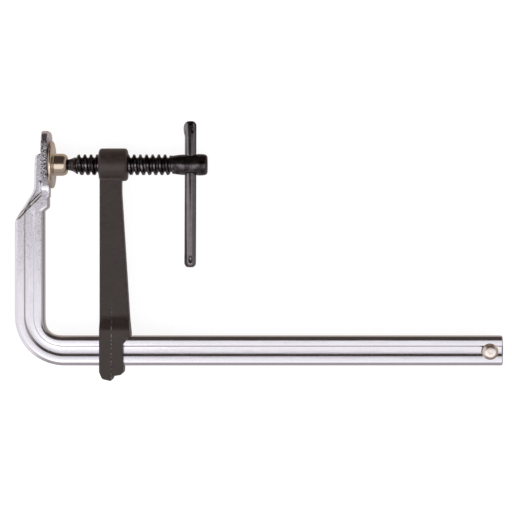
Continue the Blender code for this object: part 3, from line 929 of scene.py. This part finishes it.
def makeTommyBar():
    top = barHigh.y
    bottom = barLow.y
    radius = bar["radius"]
    topEnd = [(top, 0), (top - 0.0001, 0.0018), (top - 0.0004, 0.0026), (top - 0.0010, 0.0033),
              (top - 0.0018, 0.0038), (top - 0.0028, radius)]
    places = [topEnd[-1][0] - 0.0008 * step for step in range(1, 12)]
    shaft = [(place, radius) for place in places]
    lowEnd = [(top + bottom - along, across) for along, across in reversed(topEnd + shaft)]
    piece = spunProfile("tommy_bar_drawn", topEnd + shaft + lowEnd, 96)
    turnPiece(piece, math.pi / 2, "Z")
    # the upper end is staked over to one side, the lower end only a little
    lowSwell = bar["lowSwellShare"] * bar["swell"]
    for vertex in piece.data.vertices:
        place = vertex.co
        for end, amount, inward in ((top, bar["swell"], -1), (bottom, lowSwell, 1)):
            distance = (end + inward * bar["swellPlace"] - place.y) / bar["swellReach"]
            if abs(distance) < 1 and place.x < 0:
                place.x *= 1 + amount / radius * (1 - distance ** 2) ** 2
    for side, along in ((0.0017, top - 0.0066), (0.0003, bottom + 0.0056)):
        middle = (side, along, radius + bar["punchLift"])
        deselectAll()
        bpy.ops.mesh.primitive_uv_sphere_add(segments=32, ring_count=16, radius=bar["punchRadius"],
                                             location=middle)
        punch = bpy.context.object
        bpy.ops.object.mode_set(mode="EDIT")
        bpy.ops.transform.resize(value=(0.7, 1.35, 1.0), center_override=middle)
        bpy.ops.object.mode_set(mode="OBJECT")
        cut(piece, punch)
    turnPiece(piece, -bar["lean"], "Z")
    movePiece(piece, ((barLow.x + barHigh.x) / 2, 0, 0))
    return piece


pad = {
    "thickness": 0.0027,
    "bore": 0.0054,
    "socket": 0.0078,
    "ringRadius": 0.00535,
}


# the swivel pad: a turned disc with the socket that holds the ball
def makePad():
    face = padLow.x
    back = face + pad["thickness"]
    radius = padHigh.z
    end = padHigh.x
    bore = pad["bore"]
    socket = pad["socket"]
    profile = [
        (0.0018, 0), (0.0018, 0.0028), (0.0030, 0.0040), (0.0052, bore), (end - 0.0006, bore),
        (end, bore + 0.0005), (end, 0.0059), (end - 0.0003, 0.0064), (end - 0.0010, 0.0070),
        (end - 0.0018, 0.0074), (end - 0.0028, 0.0077), (end - 0.0038, socket),
        (back + 0.0010, socket), (back + 0.0004, socket + 0.0002), (back, socket + 0.0008),
        (back - 0.0001, 0.0120), (back - 0.0002, radius - 0.0018), (back - 0.0004, radius - 0.0008),
        (back - 0.0007, radius - 0.0003), (back - 0.0011, radius), (face + 0.0005, radius),
        (face + 0.0002, radius - 0.0002), (face, radius - 0.0006), (face, 0),
    ]
    return spunProfile("swivel_pad_turned", profile, 128)


def makeSnapRing():
    deselectAll()
    wire = (ringHigh.x - ringLow.x) / 2
    middle = (ringHigh.x + ringLow.x) / 2
    bpy.ops.mesh.primitive_torus_add(major_segments=72, minor_segments=16, major_radius=pad["ringRadius"],
                                     minor_radius=wire)
    ring = bpy.context.object
    ring.name = "pad_snap_ring_wire"
    # a few segments are taken out for the split, and the ends closed
    pick(ring, "FACE", lambda middle, face: abs(math.atan2(middle.y, middle.x)) < math.radians(15))
    bpy.ops.mesh.delete(type="FACE")
    bpy.ops.mesh.select_mode(type="EDGE")
    bpy.ops.mesh.select_non_manifold()
    bpy.ops.mesh.fill_holes(sides=0)
    tidyMesh()
    turnPiece(ring, math.pi / 2, "Y")
    movePiece(ring, (middle, 0, 0))
    return ring


steel = makeBrightSteel()
forging = makeBlackForging()
roundMarks = makeBlackOxide("blackOxideThread", (8.0, 0.6, 0.6), (0.16, 0.28), 0.25, 0.62, 0.2)
longMarks = makeBlackOxide("blackOxideBar", (1.0, 0.02, 1.0), (0.13, 0.24), 0.3, 1.05, 0.85)
padAxis = {"centre": (0, 0, 0), "mask": (0, 1, 1), "along": "X"}
padZinc = makeYellowZinc("yellowZincPad", padAxis, 0.0003, 0.0)
pinCentre = ((pinLow.x + pinHigh.x) / 2, (pinLow.y + pinHigh.y) / 2, 0)
pinAxis = {"centre": pinCentre, "mask": (1, 1, 0), "along": "Z"}
# the pin's pale middle is a painted highlight
pinZinc = makeYellowZinc("yellowZincPin", pinAxis, 0.0003, 0.8)
wire = makeSpringWire()
print("materials made")

finishPiece(makeRail(), "rail", "rail", steel)
finishPiece(makeStopPin(), "stop_pin", "rail", pinZinc)
finishPiece(makeArm(), "sliding_arm", "arm", forging)
finishPiece(makeSpindle(), "spindle", "spindle", roundMarks)
finishPiece(makeTommyBar(), "tommy_bar", "bar", longMarks)
finishPiece(makePad(), "swivel_pad", "pad", padZinc)
finishPiece(makeSnapRing(), "pad_snap_ring", "pad", wire)

studio = {
    "height": 1.1,
    "aimX": 0.14474,
    "aimY": -0.064145,
    "lens": 110.0,
    "keyLight": (1.07, 1.06, 1.10),
    "keyEdge": (0.82, 0.79, 0.86),
    "keyHeart": (1.18, 1.16, 1.20),
    "lamp": (4.5, 4.3, 4.4),
    "lampX": -0.15,
    "lampY": -0.26,
    "lampWidth": 0.07,
    "lampLength": 0.12,
    "southLow": (0.42, 0.385, 0.40),
    "northLow": (0.50, 0.43, 0.39),
    "northDark": (0.064, 0.052, 0.047),
    "westGlow": (0.93, 0.91, 0.96),
    "eastGlow": (0.44, 0.41, 0.40),
    "backdrop": (0.93, 0.93, 0.93),
    "floorGlow": 0.87,
}


def makeFloor():
    deselectAll()
    bpy.ops.mesh.primitive_plane_add(size=8, location=(0, 0, -0.0004))
    floor = bpy.context.object
    floor.name = "studioFloor"
    material = bpy.data.materials.new("paleFloor")
    material.use_nodes = True
    shader = material.node_tree.nodes["Principled BSDF"]
    shader.inputs["Base Color"].default_value = (0.36, 0.36, 0.36, 1)
    shader.inputs["Roughness"].default_value = 0.9
    shader.inputs["Emission Color"].default_value = (1, 1, 1, 1)
    shader.inputs["Emission Strength"].default_value = studio["floorGlow"]
    floor.data.materials.append(material)
    floor.visible_glossy = False


# a big soft light from the zenith down towards -Y, and a dark warm studio behind it
def makeWorld():
    world = bpy.data.worlds.new("softStudio")
    bpy.context.scene.world = world
    world.use_nodes = True
    tree = world.node_tree
    direction = addNode(tree, "ShaderNodeTexCoord").outputs["Generated"]
    axes = addNode(tree, "ShaderNodeSeparateXYZ", {0: direction}).outputs
    key = mixColour(tree, rangeNode(tree, axes["Y"], 0.048, -0.040), studio["keyEdge"], studio["keyLight"])
    key = mixColour(tree, rangeNode(tree, axes["Y"], -0.16, -0.30), key, studio["keyHeart"])
    south = mixColour(tree, rangeNode(tree, axes["Z"], 0.60, 0.74), studio["southLow"], key)
    north = mixColour(tree, rangeNode(tree, axes["Z"], -0.35, -0.10), studio["northLow"], studio["northDark"])
    colour = mixColour(tree, rangeNode(tree, axes["Y"], 0.11, 0.02), north, south)
    west = mathNode(tree, "MULTIPLY", rangeNode(tree, axes["X"], -0.45, -0.75),
                    rangeNode(tree, axes["Y"], 0.90, 0.60))
    colour = mixColour(tree, west, colour, studio["westGlow"])
    colour = mixColour(tree, rangeNode(tree, axes["X"], 0.50, 0.80), colour, studio["eastGlow"])
    # a small hard lamp inside the big soft one, for the glints on the dark parts
    offX = mathNode(tree, "SUBTRACT", axes["X"], studio["lampX"])
    offX = mathNode(tree, "DIVIDE", offX, studio["lampWidth"])
    offY = mathNode(tree, "SUBTRACT", axes["Y"], studio["lampY"])
    offY = mathNode(tree, "DIVIDE", offY, studio["lampLength"])
    offset = addNode(tree, "ShaderNodeCombineXYZ", {0: offX, 1: offY, 2: 0.0}).outputs[0]
    away = addNode(tree, "ShaderNodeVectorMath", {0: offset}, operation="LENGTH").outputs["Value"]
    lamp = mathNode(tree, "MULTIPLY", rangeNode(tree, away, 1.1, 0.6), rangeNode(tree, axes["Z"], 0.0, 0.1))
    colour = mixColour(tree, lamp, colour, studio["lamp"])
    seen = addNode(tree, "ShaderNodeLightPath").outputs["Is Camera Ray"]
    colour = mixColour(tree, seen, colour, studio["backdrop"])
    tree.links.new(colour, tree.nodes["Background"].inputs["Color"])


def makeCamera():
    bpy.ops.object.camera_add(location=datum + Vector((studio["aimX"], studio["aimY"], studio["height"])),
                              rotation=(0, 0, 0))
    camera = bpy.context.object
    camera.name = "studioCamera"
    camera.data.lens = studio["lens"]
    bpy.context.scene.camera = camera


makeFloor()
makeWorld()
makeCamera()
bpy.context.scene.view_settings.view_transform = "Standard"
print("studio ready")
